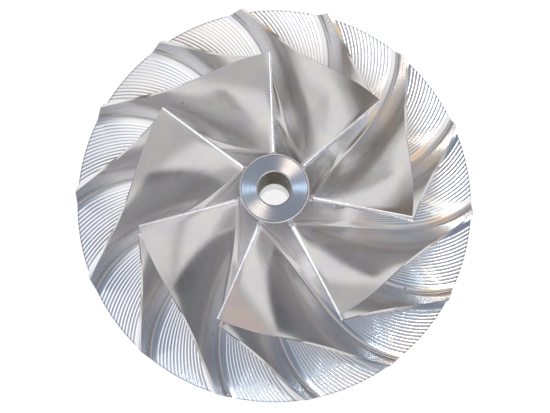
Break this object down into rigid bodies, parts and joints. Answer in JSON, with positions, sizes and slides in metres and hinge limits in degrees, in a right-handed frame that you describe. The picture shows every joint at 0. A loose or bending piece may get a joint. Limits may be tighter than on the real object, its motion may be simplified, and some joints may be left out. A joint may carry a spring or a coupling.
{
  "type": "compressor wheel",
  "caption": "Centrifugal compressor wheel milled in one piece, with backswept full and splitter blades around a bored hub.",
  "frame": {"origin": "centre of the flat back, on the bore axis", "axes": "+Z along the bore axis from the back to the nose; +Y through the root of one full blade's leading edge"},
  "size_m": [0.082, 0.082, 0.035],
  "materials": {
    "milled_aluminium": "bright five-axis milled, with turned nose and back"
  },
  "bodies": {
    "root": {"compressor_wheel": "milled_aluminium"}
  },
  "joints": []
}
